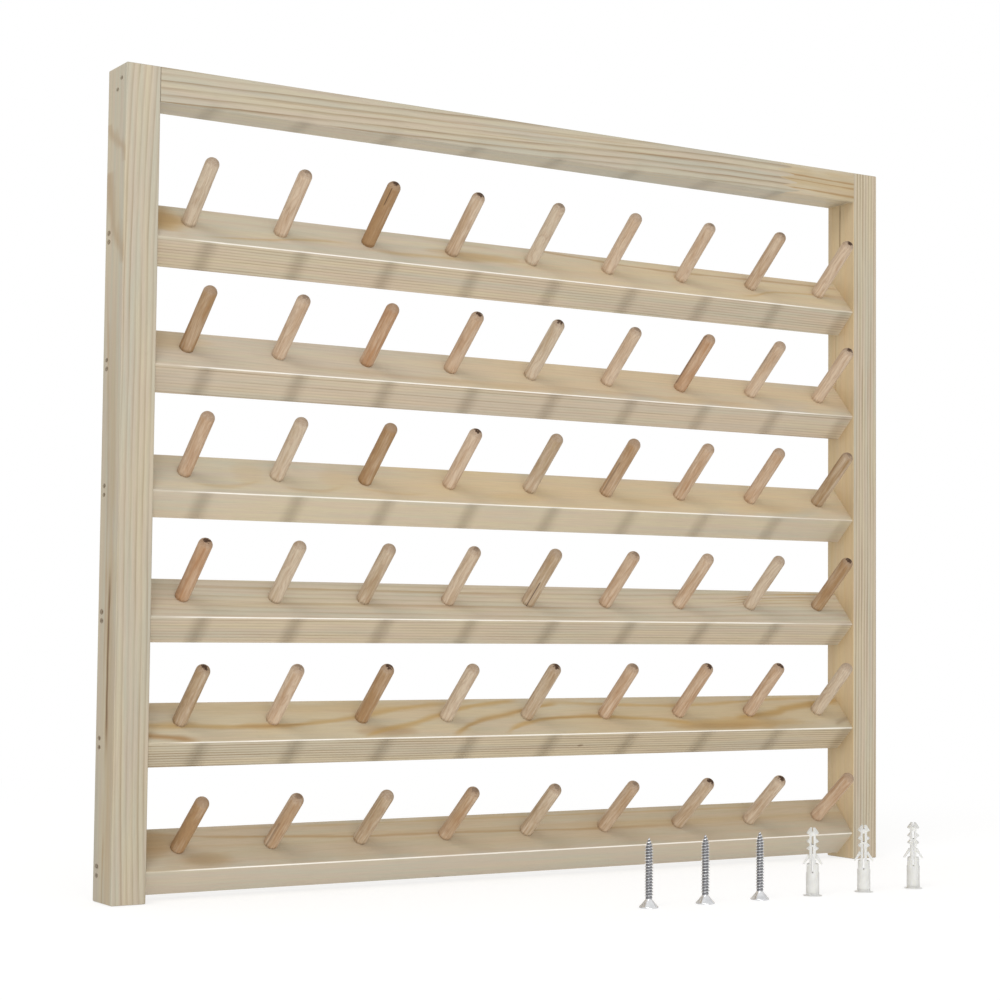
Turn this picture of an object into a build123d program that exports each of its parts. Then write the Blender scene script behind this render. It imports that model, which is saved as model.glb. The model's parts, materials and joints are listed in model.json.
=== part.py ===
from build123d import *
import math
import os

# Wall rack for spools of sewing thread, with its loose fixing screws and wall plugs.
# Lengths are in millimetres and angles in degrees. X runs along the shelves, +Y points at the wall
# and +Z points up. The origin is on the floor, under the middle of the whole set.

# Frame of the rack
rack_width = 430.0
rack_height = 364.0
rack_depth = 21.0
upright_face = 16.0
rail_height = 15.8
wood_arris = 0.6

# Sloping shelves, each a square-edged board turned about its long axis
shelf_face = 23.4
shelf_thickness = 16.9
shelf_tilt = 47.2
shelf_inset = 0.6
shelf_arris = 0.8
top_shelf_drop = 74.9
bottom_shelf_rise = 13.4
# How far each shelf sits off even spacing, top shelf first, as shares of the spacing
shelf_drift_shares = (0.0, -0.015, -0.015, -0.01, 0.0, 0.0)

# Spool pegs
pegs_per_shelf = 9
peg_radius = 3.3
peg_stand = 35.8
peg_seat = 11.0
peg_setback = 12.2
peg_end_margin = 18.0
peg_foot_squeeze = 0.2
peg_shoulder_rise = 0.3
peg_fit_clearance = 0.03
peg_dome_share = 0.94
peg_foot_chamfer = 0.5
# Extra forward lean of each row of pegs, top row first, in degrees
peg_row_leans = (0.5, 1.0, 0.0, 0.0, -0.5, 2.7)

# Brads that hold every board between the uprights
brad_radius = 0.6
brad_head_radius = 0.85
brad_head_height = 0.7
brad_bite = 9.8
brad_sink = 0.8
brad_point = 1.5
brad_fit_clearance = 0.02
shelf_brad_depth_share = 0.8
shelf_brad_spread = 3.9
# Depth from the front and drop from the top of the two brads at each end of the rail, as shares
rail_brad_shares = ((0.28, 0.38), (0.49, 0.66))

# Finger joint that lengthens the top rail
finger_joint_inset = 45.0
finger_length = 10.0
finger_tip = 0.4
finger_skew = 7.0
finger_count = 4

# Keyhole slots in the back, for the heads of the wall screws
keyhole_entry_radius = 4.5
keyhole_slot_radius = 2.3
keyhole_rise = 3.2
keyhole_lip = 2.5
keyhole_depth = 7.0
keyhole_floor_web = 2.0

# Countersunk wall screws, standing on their heads
screw_length = 30.0
screw_head_radius = 4.2
screw_head_rim = 0.45
screw_head_height = 3.7
screw_crest_radius = 2.0
screw_core_radius = 1.4
screw_pitch = 1.27
screw_point_length = 4.2
screw_point_radius = 0.12
screw_crest_flat = 0.1
screw_crest_lift_share = 0.28
recess_reach = 2.3
recess_width = 0.9
recess_floor_width = 0.45
recess_depth = 2.2

# Nylon wall plugs, standing on their flanges
plug_length = 30.6
plug_body_radius = 3.0
plug_body_height = 14.4
plug_shoulder = 0.7
plug_flange_radius = 4.25
plug_flange_height = 0.5
plug_flange_edge = 0.2
plug_neck_width = 2.85
plug_barb_width = 5.6
plug_barb_edge = 0.25
plug_barb_root = 0.5
plug_dome_flat = 2.4
# Heights on the split neck, as shares of its length from the body's top to the tip
plug_barb_shares = (0.407, 0.605)
plug_barb_slope_share = 0.074
plug_dome_share = 0.84
plug_wing_root_share = 0.148
plug_wing_top_share = 0.247
plug_bore_radius = 1.6
plug_bore_depth = 9.0
plug_top_slot_width = 0.5
plug_top_slot_depth = 1.8
plug_window_width = 0.9
plug_window_height = 4.0
plug_window_bridge = 1.9
plug_slit_top_width = 0.25
plug_slit_foot_width = 0.65
plug_slit_bridge = 0.7
plug_slit_sink = 4.0
plug_wing_reach = 4.5
plug_wing_droop = 0.4
plug_wing_thickness = 0.65
plug_wing_depth = 2.6
plug_pocket_depth = 0.5
plug_pocket_height = 4.0

# Where the loose fixings stand
fixing_count = 3
fixing_stand_off = 110.0
screw_first_offset = -13.0
fixing_spacing = 30.5
plug_turn = 41.4

# Places that follow from the sizes above
set_depth = rack_depth + fixing_stand_off + plug_flange_radius
back_y = set_depth / 2
front_y = back_y - rack_depth
fixing_y = front_y - fixing_stand_off
half_width = rack_width / 2
inner_half = half_width - upright_face
inner_width = 2 * inner_half
shelf_count = len(shelf_drift_shares)
top_shelf_height = rack_height - top_shelf_drop
shelf_pitch = (top_shelf_height - bottom_shelf_rise) / (shelf_count - 1)
shelf_heights = [
    top_shelf_height + shelf_pitch * (drift_share - row)
    for row, drift_share in enumerate(shelf_drift_shares)
]
tilt = math.radians(shelf_tilt)
peg_pitch = (inner_width - 2 * peg_end_margin) / (pegs_per_shelf - 1)
peg_places = [(peg_end_margin - inner_half + peg_pitch * column, 0) for column in range(pegs_per_shelf)]
rail_foot = rack_height - rail_height
keyhole_height = rail_foot + keyhole_floor_web + keyhole_entry_radius
peg_foot_radius = peg_radius - peg_foot_squeeze
plug_window_top = plug_length - plug_top_slot_depth - plug_window_bridge
plug_slit_top = plug_window_top - plug_window_height - plug_slit_bridge
plug_slit_foot = plug_body_height - plug_slit_sink
plug_neck_length = plug_length - plug_body_height
plug_dome_foot = plug_body_height + plug_neck_length * plug_dome_share
plug_wing_foot = plug_body_height - plug_wing_droop
plug_wing_root = plug_body_height + plug_neck_length * plug_wing_root_share
plug_wing_top = plug_body_height + plug_neck_length * plug_wing_top_share


def shelf_plane(row):
    """The plane of a shelf's wide face: origin on its front top edge, x along it, y up the slope."""
    return Plane(
        origin=(0, front_y + shelf_inset, shelf_heights[row]),
        x_dir=(1, 0, 0),
        z_dir=(0, -math.sin(tilt), math.cos(tilt)),
    )


def peg_plane(row):
    """The plane that a row of pegs rises from, through the middles of their feet."""
    face = shelf_plane(row)
    foot = face.origin + face.y_dir * peg_setback
    lean = tilt + math.radians(peg_row_leans[row])
    return Plane(origin=foot, x_dir=(1, 0, 0), z_dir=(0, -math.sin(lean), math.cos(lean)))


def board_brad_places(row):
    """Depth and height of the two brads in a shelf's end."""
    depth = front_y + rack_depth * shelf_brad_depth_share
    middle = shelf_heights[row]
    return [(depth, middle + shelf_brad_spread / 2), (depth, middle - shelf_brad_spread / 2)]


def rail_brad_places():
    """Depth and height of the two brads in the rail's end."""
    places = []
    for depth_share, drop_share in rail_brad_shares:
        places.append((front_y + rack_depth * depth_share, rack_height - rail_height * drop_share))
    return places


def all_brad_places():
    places = rail_brad_places()
    for row in range(shelf_count):
        places += board_brad_places(row)
    return places


def brad_plane(side):
    """The outer side face of an upright, looking inwards: x follows depth and y follows height."""
    return Plane(origin=(side * half_width, 0, 0), x_dir=(0, -side, 0), z_dir=(-side, 0, 0))


def brad_holes(side, places):
    """Stepped holes for the brads, from the outer face of one upright to their points."""
    outer = brad_plane(side)
    spots = [(-side * depth, height) for depth, height in places]
    with BuildPart() as holes:
        with BuildSketch(outer):
            with Locations(*spots):
                Circle(brad_radius + brad_fit_clearance)
        extrude(amount=upright_face + brad_bite)
        with BuildSketch(outer):
            with Locations(*spots):
                Circle(brad_head_radius + brad_fit_clearance)
        extrude(amount=brad_sink + brad_head_height)
    return holes


def keyhole(middle_x):
    """A round entry with a narrow slot above it and a wider pocket behind the slot's lip."""
    back = Plane(origin=(middle_x, back_y, keyhole_height), x_dir=(1, 0, 0), z_dir=(0, -1, 0))
    with BuildPart() as hollow:
        with BuildSketch(back):
            Circle(keyhole_entry_radius)
            with Locations((0, keyhole_rise)):
                Circle(keyhole_slot_radius)
            with Locations((0, keyhole_rise / 2)):
                Rectangle(2 * keyhole_slot_radius, keyhole_rise)
        extrude(amount=keyhole_depth)
        with BuildSketch(back.offset(keyhole_lip)):
            Circle(keyhole_entry_radius)
            with Locations((0, keyhole_rise)):
                Circle(keyhole_entry_radius)
            with Locations((0, keyhole_rise / 2)):
                Rectangle(2 * keyhole_entry_radius, keyhole_rise)
        extrude(amount=keyhole_depth - keyhole_lip)
    return hollow


def upright(side):
    """One side post, with the brad holes of every board and a keyhole at the rail's height."""
    nailing = brad_holes(side, all_brad_places())
    hanger = keyhole(side * (half_width - upright_face / 2))
    with BuildPart() as post:
        with BuildSketch():
            with Locations((side * (half_width - upright_face / 2), front_y + rack_depth / 2)):
                Rectangle(upright_face, rack_depth)
        extrude(amount=rack_height)
        fillet(post.edges(), wood_arris)
        add(nailing.part, mode=Mode.SUBTRACT)
        add(hanger.part, mode=Mode.SUBTRACT)
    return post


def finger_line():
    """The zigzag of the finger joint, from the rail's underside to its top."""
    middle_x = inner_half - finger_joint_inset
    finger_pitch = rail_height / finger_count
    points = []
    for finger in range(finger_count):
        foot = finger * finger_pitch
        steps = (
            (-1, foot),
            (-1, foot + finger_tip / 2),
            (1, foot + finger_pitch / 2 - finger_tip / 2),
            (1, foot + finger_pitch / 2 + finger_tip / 2),
            (-1, foot + finger_pitch - finger_tip / 2),
        )
        points += steps
    points.append((-1, rail_height))
    line = []
    for way, rise in points:
        skew = finger_skew * (1 - 2 * rise / rail_height) / 2
        line.append((middle_x + way * finger_length / 2 + skew, rail_foot + rise))
    return line


def rail_piece(side):
    """One length of the top rail, up to the finger joint."""
    line = finger_line()
    far_x = side * inner_half
    front = Plane(origin=(0, front_y, 0), x_dir=(1, 0, 0), z_dir=(0, -1, 0))
    nailing = brad_holes(side, rail_brad_places())
    hanger = keyhole(0)
    with BuildPart() as piece:
        with BuildSketch(Plane.YZ.offset(-inner_half)):
            with Locations((front_y + rack_depth / 2, rail_foot + rail_height / 2)):
                Rectangle(rack_depth, rail_height)
        extrude(amount=inner_width)
        fillet(piece.edges().filter_by(Axis.X), wood_arris)
        with BuildSketch(front):
            with BuildLine():
                Polyline((far_x, rail_foot), *line, (far_x, rack_height), close=True)
            make_face()
        extrude(amount=-rack_depth, mode=Mode.INTERSECT)
        add(nailing.part, mode=Mode.SUBTRACT)
        add(hanger.part, mode=Mode.SUBTRACT)
    return piece


def shelf(row):
    """One sloping board, its hidden rear corner planed flush with the back of the rack."""
    face = shelf_plane(row)
    seat = peg_plane(row)
    end = Plane(origin=(-inner_half, face.origin.Y, face.origin.Z), x_dir=face.y_dir, z_dir=(1, 0, 0))
    left_nailing = brad_holes(-1, board_brad_places(row))
    right_nailing = brad_holes(1, board_brad_places(row))
    with BuildPart() as board:
        with BuildSketch(end):
            with Locations((shelf_face / 2, -shelf_thickness / 2)):
                Rectangle(shelf_face, shelf_thickness)
        extrude(amount=inner_width)
        split(bisect_by=Plane(origin=(0, back_y, 0), z_dir=(0, -1, 0)))
        long_edges = board.edges().filter_by(Axis.X)
        fillet(long_edges.filter_by(lambda edge: edge.center().Y < back_y - shelf_arris), shelf_arris)
        with BuildSketch(seat.offset(-peg_seat)):
            with Locations(*peg_places):
                Circle(peg_foot_radius + peg_fit_clearance)
        extrude(amount=peg_seat + peg_stand, mode=Mode.SUBTRACT)
        add(left_nailing.part, mode=Mode.SUBTRACT)
        add(right_nailing.part, mode=Mode.SUBTRACT)
    return board


def peg_row(row):
    """The round pegs of one shelf, domed at the tip, with a slimmer chamfered foot in the board."""
    seat = peg_plane(row)
    rise = Axis(seat.origin, seat.z_dir)
    with BuildPart() as pegs:
        with BuildSketch(seat.offset(-peg_seat)):
            with Locations(*peg_places):
                Circle(peg_foot_radius)
        extrude(amount=peg_seat + peg_shoulder_rise)
        chamfer(pegs.edges().group_by(rise)[0], peg_foot_chamfer)
        with BuildSketch(seat.offset(peg_shoulder_rise)):
            with Locations(*peg_places):
                Circle(peg_radius)
        extrude(amount=peg_stand - peg_shoulder_rise)
        fillet(pegs.edges().group_by(rise)[-1], peg_radius * peg_dome_share)
    return pegs


def brad_group(side, places):
    """Headed brads driven from one outer face, points inwards."""
    with BuildPart() as brads:
        for depth, height in places:
            head = (side * half_width, depth, height)
            with BuildSketch(Plane(origin=head, x_dir=(-side, 0, 0), z_dir=(0, 1, 0))):
                with BuildLine():
                    Polyline(
                        (brad_sink, 0),
                        (upright_face + brad_bite, 0),
                        (upright_face + brad_bite - brad_point, brad_radius),
                        (brad_sink + brad_head_height, brad_radius),
                        (brad_sink + brad_head_height, brad_head_radius),
                        (brad_sink, brad_head_radius),
                        close=True,
                    )
                make_face()
            revolve(axis=Axis(head, (1, 0, 0)))
    return brads


def screw_outline():
    """Half section of a wall screw: rim, cone, ridges of the thread and a drawn-out point."""
    outline = [(0, 0), (screw_head_radius, 0), (screw_head_radius, screw_head_rim)]
    outline.append((screw_core_radius, screw_head_height))
    ridge_lift = screw_pitch * screw_crest_lift_share
    thread_height = screw_length - screw_point_length - screw_head_height
    for turn in range(int(thread_height / screw_pitch)):
        foot = screw_head_height + turn * screw_pitch + ridge_lift
        outline += [
            (screw_core_radius, foot),
            (screw_crest_radius, foot + ridge_lift),
            (screw_crest_radius, foot + ridge_lift + screw_crest_flat),
            (screw_core_radius, foot + 2 * ridge_lift + screw_crest_flat),
        ]
    outline.append((screw_core_radius, screw_length - screw_point_length))
    outline.append((screw_point_radius, screw_length))
    outline.append((0, screw_length))
    return outline


def wall_screw(middle_x):
    """A countersunk screw standing on its head, with a cross recess in the head's flat."""
    section = Plane(origin=(middle_x, fixing_y, 0), x_dir=(1, 0, 0), z_dir=(0, -1, 0))
    with BuildPart() as screw:
        with BuildSketch(section):
            with BuildLine():
                Polyline(*screw_outline(), close=True)
            make_face()
        revolve(axis=Axis((middle_x, fixing_y, 0), (0, 0, 1)))
        with BuildSketch(Plane.XY):
            with Locations((middle_x, fixing_y)):
                Rectangle(2 * recess_reach, recess_width)
                Rectangle(recess_width, 2 * recess_reach)
        recess_draw = math.atan((recess_width - recess_floor_width) / 2 / recess_depth)
        extrude(amount=recess_depth, taper=math.degrees(recess_draw), mode=Mode.SUBTRACT)
    return screw


def plug_half_outline():
    """Right half of a plug's front outline, from the flange up over the barbs to the dome."""
    neck = plug_neck_width / 2
    barb = plug_barb_width / 2
    outline = [(0, 0), (plug_flange_radius, 0), (plug_flange_radius, plug_flange_edge)]
    outline += [(plug_body_radius, plug_flange_height), (plug_body_radius, plug_body_height - plug_shoulder)]
    outline += [(plug_body_radius - plug_shoulder, plug_body_height), (neck, plug_body_height)]
    slope = plug_neck_length * plug_barb_slope_share
    for barb_share in plug_barb_shares:
        height = plug_body_height + plug_neck_length * barb_share
        outline += [
            (neck, height - plug_barb_root),
            (barb - plug_barb_edge, height),
            (barb, height + plug_barb_edge),
            (neck + plug_barb_edge, height + slope),
            (neck, height + slope + plug_barb_edge),
        ]
    outline += [(neck, plug_dome_foot - plug_barb_root), (barb, plug_dome_foot)]
    outline += [(barb, plug_dome_foot + plug_barb_edge), (plug_dome_flat / 2, plug_length), (0, plug_length)]
    return outline


def wall_plug(middle_x):
    """A slit nylon plug standing on its flange, with barbs above and a folding wing on each side."""
    turn = math.radians(plug_turn)
    section = Plane(
        origin=(middle_x, fixing_y, 0),
        x_dir=(math.cos(turn), -math.sin(turn), 0),
        z_dir=(-math.sin(turn), -math.cos(turn), 0),
    )
    rise = Axis((middle_x, fixing_y, 0), (0, 0, 1))
    half = plug_half_outline()
    neck = plug_neck_width / 2
    with BuildPart() as plug:
        with BuildSketch(section):
            with BuildLine():
                Polyline((0, 0), (plug_flange_radius, 0), (plug_flange_radius, plug_flange_edge),
                         (plug_body_radius, plug_flange_height), (plug_body_radius, plug_body_height),
                         (plug_barb_width / 2, plug_body_height + plug_shoulder),
                         (plug_barb_width / 2, plug_dome_foot + plug_barb_edge),
                         (plug_dome_flat / 2, plug_length), (0, plug_length), close=True)
            make_face()
        revolve(axis=rise)
        with BuildSketch(section):
            with BuildLine():
                Polyline(*half, *[(-across, height) for across, height in reversed(half[1:-1])], close=True)
            make_face()
        extrude(amount=plug_flange_radius, both=True, mode=Mode.INTERSECT)
        with BuildSketch(section):
            for way in (-1, 1):
                with Locations((way * (plug_body_radius - plug_pocket_depth / 2),
                                plug_body_height - plug_pocket_height / 2)):
                    Rectangle(plug_pocket_depth, plug_pocket_height)
        extrude(amount=plug_wing_depth / 2, both=True, mode=Mode.SUBTRACT)
        with BuildSketch(section):
            for way in (-1, 1):
                with BuildLine():
                    Polyline((way * (neck - plug_barb_edge), plug_wing_root),
                             (way * (neck - plug_barb_edge), plug_wing_top),
                             (way * (neck + plug_wing_thickness), plug_wing_top),
                             (way * plug_wing_reach, plug_wing_foot + plug_wing_thickness / 2),
                             (way * (plug_wing_reach - plug_wing_thickness), plug_wing_foot),
                             (way * (neck + plug_barb_edge), plug_wing_root), close=True)
                make_face()
        extrude(amount=plug_wing_depth / 2, both=True)
        with BuildSketch(section):
            with Locations((0, plug_length - plug_top_slot_depth / 2)):
                Rectangle(plug_top_slot_width, plug_top_slot_depth)
            with Locations((0, plug_window_top - plug_window_height / 2)):
                Rectangle(plug_window_width, plug_window_height)
            with BuildLine():
                Polyline((-plug_slit_foot_width / 2, plug_slit_foot),
                         (plug_slit_foot_width / 2, plug_slit_foot),
                         (plug_slit_top_width / 2, plug_slit_top),
                         (-plug_slit_top_width / 2, plug_slit_top), close=True)
            make_face()
        extrude(amount=plug_body_radius, both=True, mode=Mode.SUBTRACT)
        with BuildSketch(Plane.XY):
            with Locations((middle_x, fixing_y)):
                Circle(plug_bore_radius)
        extrude(amount=plug_bore_depth, mode=Mode.SUBTRACT)
    return plug


# Every piece of the set, by name
pieces = {
    "left_upright": upright(-1),
    "right_upright": upright(1),
    "top_rail_left": rail_piece(-1),
    "top_rail_right": rail_piece(1),
}
for row in range(shelf_count):
    pieces[f"shelf_{row + 1}"] = shelf(row)
    pieces[f"pegs_row_{row + 1}"] = peg_row(row)
    pieces[f"brads_left_{row + 1}"] = brad_group(-1, board_brad_places(row))
    pieces[f"brads_right_{row + 1}"] = brad_group(1, board_brad_places(row))
pieces["brads_left_rail"] = brad_group(-1, rail_brad_places())
pieces["brads_right_rail"] = brad_group(1, rail_brad_places())
for place in range(fixing_count):
    screw_x = screw_first_offset + place * fixing_spacing
    pieces[f"wall_screw_{place + 1}"] = wall_screw(screw_x)
    pieces[f"wall_plug_{place + 1}"] = wall_plug(screw_x + fixing_count * fixing_spacing)

os.makedirs("parts", exist_ok=True)
for name, piece in pieces.items():
    piece.part.label = name
    export_step(piece.part, f"parts/{name}.step")
print("shelf spacing", round(shelf_pitch, 2), "peg spacing", round(peg_pitch, 2))
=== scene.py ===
"""Looks of a wooden thread rack with its loose wall screws and plugs, dressed around the packed CAD frame.

Lengths are in metres in the frame of the CAD part: X runs along the shelves, +Y points at the wall and
+Z points up. Grain coordinates inside the wood materials are in millimetres.
"""

import json
import math

import bpy
import numpy as np
from mathutils import Matrix, Vector


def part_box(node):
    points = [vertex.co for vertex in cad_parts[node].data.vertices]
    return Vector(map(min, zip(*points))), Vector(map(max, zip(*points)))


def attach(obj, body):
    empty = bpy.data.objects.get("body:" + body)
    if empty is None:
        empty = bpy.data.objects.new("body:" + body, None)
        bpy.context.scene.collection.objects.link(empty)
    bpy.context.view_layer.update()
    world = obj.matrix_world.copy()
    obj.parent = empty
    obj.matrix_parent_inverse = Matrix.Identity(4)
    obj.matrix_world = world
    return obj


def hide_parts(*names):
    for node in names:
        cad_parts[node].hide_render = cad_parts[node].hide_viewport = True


bl_info = {
    "name": "Thread rack finish",
    "version": (1, 0, 0),
    "blender": (4, 5, 0),
    "location": "3D View > Sidebar > Thread Rack",
    "description": "Dresses a wooden thread rack with pine, turned pegs, screws and nylon plugs",
    "category": "Object",
}

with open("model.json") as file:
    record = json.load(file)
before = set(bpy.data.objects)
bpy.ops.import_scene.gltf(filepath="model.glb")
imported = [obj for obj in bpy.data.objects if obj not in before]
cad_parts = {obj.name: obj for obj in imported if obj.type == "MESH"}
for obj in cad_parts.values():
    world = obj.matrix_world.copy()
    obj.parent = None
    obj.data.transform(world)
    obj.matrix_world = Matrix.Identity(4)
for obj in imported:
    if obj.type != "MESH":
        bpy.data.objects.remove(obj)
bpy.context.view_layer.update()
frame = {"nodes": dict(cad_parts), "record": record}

MM = 0.001
SEED = 54
WHITE = (1.0, 1.0, 1.0)


def mount(name):
    """One mount of the packed record, by its name."""
    return next(m for m in frame["record"]["mounts"] if m["name"] == name)


FIRST_PEG = mount("peg_1_1")
PEG_RADIUS = FIRST_PEG["dims"]["r_mm"] * MM
PEG_WALL = FIRST_PEG["dims"]["length_mm"] * MM
SHELF_COUNT = 6
PEGS_PER_SHELF = 9
FIXING_COUNT = 3
PEG_SEGMENTS = 48
SCREW_SEGMENTS = 64
STEPS_PER_TURN = 12
# Crest value of the parts of a screw without a thread
PLAIN_CREST = 0.8


def colour_setting(name, text, values):
    """A colour that a user can change."""
    return bpy.props.FloatVectorProperty(name=name, description=text, subtype="COLOR", default=values)


def length_setting(name, text, millimetres):
    """A length that a user can change."""
    return bpy.props.FloatProperty(name=name, description=text, unit="LENGTH", default=millimetres * MM)


def number_setting(name, text, value, subtype="NONE"):
    """An angle, a power, a strength or a share that a user can change."""
    return bpy.props.FloatProperty(name=name, description=text, subtype=subtype, default=value)


class RackPegs(bpy.types.PropertyGroup):
    """Sizes and tones of the turned pegs."""

    shoulder: length_setting("Shoulder rise", "Height of the peg's full radius above the shelf", 0.3)
    seat: length_setting("Seat", "Depth of the peg's foot in the shelf", 11)
    taper: length_setting("Taper", "How much slimmer the radius is below the tip", 0.08)
    squeeze: length_setting("Foot squeeze", "How much slimmer the foot's radius is", 0.2)
    ripple: length_setting("Ripple", "Height of each of the three waves that turning leaves", 0.012)
    dome_share: number_setting("Dome share", "Height of the rounded tip as a share of the radius", 0.94)
    pale: colour_setting("Pale wood", "Colour of the palest grey pegs", (0.630, 0.528, 0.405))
    rosy: colour_setting("Rosy wood", "Colour of the palest rosy pegs", (0.670, 0.520, 0.385))
    olive: colour_setting("Olive wood", "Colour of the darkest brown pegs", (0.335, 0.222, 0.11))
    amber: colour_setting("Amber wood", "Colour of the darkest reddish pegs", (0.458, 0.263, 0.142))
    streak: colour_setting("Vessel lines", "Short reddish lines in the wood", (0.324, 0.166, 0.089))
    end_grain: colour_setting("End grain", "Greyer colour of the rounded tips", (0.40, 0.345, 0.275))
    scorch: colour_setting("Tip scorch", "Colour of the burnished end grain", (0.075, 0.042, 0.026))


class RackPine(bpy.types.PropertyGroup):
    """Colours and sizes of the planed pine."""

    cream: colour_setting("Cream", "Pale early wood", (0.60, 0.525, 0.380))
    grey: colour_setting("Grey", "Cooler early wood", (0.53, 0.497, 0.397))
    rose: colour_setting("Rose", "Pinkish early wood", (0.585, 0.476, 0.380))
    late: colour_setting("Late wood", "Soft brown ring lines", (0.33, 0.24, 0.15))
    golden: colour_setting("Golden wood", "Resinous bands", (0.49, 0.325, 0.130))
    honey: colour_setting("Honey wood", "Bright yellow wood", (0.70, 0.49, 0.23))
    brown: colour_setting("Brown wood", "Darker resinous bands", (0.36, 0.205, 0.078))
    # Also the colour of the painted shade in the brad holes of the uprights
    resin_and_hole_shade: colour_setting("Resin streak", "Thin dark resin lines", (0.13, 0.065, 0.022))
    # Colour of the painted highlight along each shelf's front corner
    arris: colour_setting("Highlighted arris", "Pale highlighted corner of each shelf", (0.99, 0.95, 0.87))
    shelf_tilt: number_setting("Shelf tilt", "Slope of the shelves' wide faces", math.radians(47.2), "ANGLE")
    peg_setback: length_setting("Peg setback", "From a shelf's front corner to its pegs' middle", 12.2)


class RackFixings(bpy.types.PropertyGroup):
    """Sizes and colours of the loose screws, plugs and brads."""

    screw_length: length_setting("Screw length", "From the head's flat to the point", 30)
    head_radius: length_setting("Head radius", "Radius of the countersunk head", 4.2)
    head_height: length_setting("Head height", "Height of the countersunk head", 3.7)
    rim_height: length_setting("Rim height", "Height of the straight rim of the head", 0.45)
    recess_reach: length_setting("Recess reach", "From the middle to the tips of the cross", 2.3)
    recess_width: length_setting("Recess width", "Width of the arms of the cross", 0.9)
    recess_depth: length_setting("Recess depth", "Depth of the middle of the cross", 2.2)
    recess_wall: length_setting("Recess wall", "Width of the sloping wall of the cross", 0.22)
    crest_radius: length_setting("Thread radius", "Radius over the thread's crests", 2.0)
    core_radius: length_setting("Core radius", "Radius at the thread's root", 1.4)
    tip_radius: length_setting("Tip radius", "Radius at the very point", 0.10)
    point_length: length_setting("Point length", "Length over which the thread narrows", 4.2)
    pitch: length_setting("Thread pitch", "Rise of the thread in one turn", 1.27)
    brad_head: length_setting("Brad head", "Radius of a brad's head", 0.85)
    plating: colour_setting("Plating", "Colour of the bright plating", (0.74, 0.745, 0.75))
    film: colour_setting("Plating film", "Duller patches on the plating", (0.60, 0.605, 0.62))
    # Painted shade in the grooves of the thread
    roots: colour_setting("Thread roots", "Dark grooves of the thread", (0.19, 0.19, 0.20))
    nylon: colour_setting("Nylon", "Colour of the translucent plugs", (0.84, 0.84, 0.815))
    haze: colour_setting("Nylon haze", "Duller patches on the plugs", (0.78, 0.78, 0.755))
    # The brad wire is painted almost black as the shade of the holes the brads sit in
    wire: colour_setting("Brad wire", "Colour of the sunk brads", (0.04, 0.034, 0.03))
    scratch: colour_setting("Wire scratches", "Paler drawing lines on the brads", (0.08, 0.07, 0.06))


class RackStage(bpy.types.PropertyGroup):
    """Camera, floor and studio light."""

    eye: bpy.props.FloatVectorProperty(
        name="Camera place", description="Where the camera stands", subtype="TRANSLATION",
        default=(-0.57147, -0.83379, 0.12195))
    yaw: number_setting("Yaw", "Turn to the right of the wall's direction", 0.558, "ANGLE")
    pitch: number_setting("Pitch", "Upward tilt of the camera", 0.0563, "ANGLE")
    roll: number_setting("Roll", "Roll of the camera", -0.0098, "ANGLE")
    lens: number_setting("Lens", "Focal length in millimetres on a 36 mm sensor", 78.56)
    sky: number_setting("Room light", "Strength of the even light from all round", 0.67)
    upper: number_setting("Upper lamp", "Power of the large lamp on the upper left", 13.5, "POWER")
    lower: number_setting("Lower lamp", "Power of the small lamp below the table", 7.6, "POWER")
    front: number_setting("Front lamp", "Power of the large lamp beside the camera", 8.0, "POWER")
    floor_shade: number_setting("Floor shade", "How strongly the floor shows shadows, from 0 to 1", 0.4)


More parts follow.
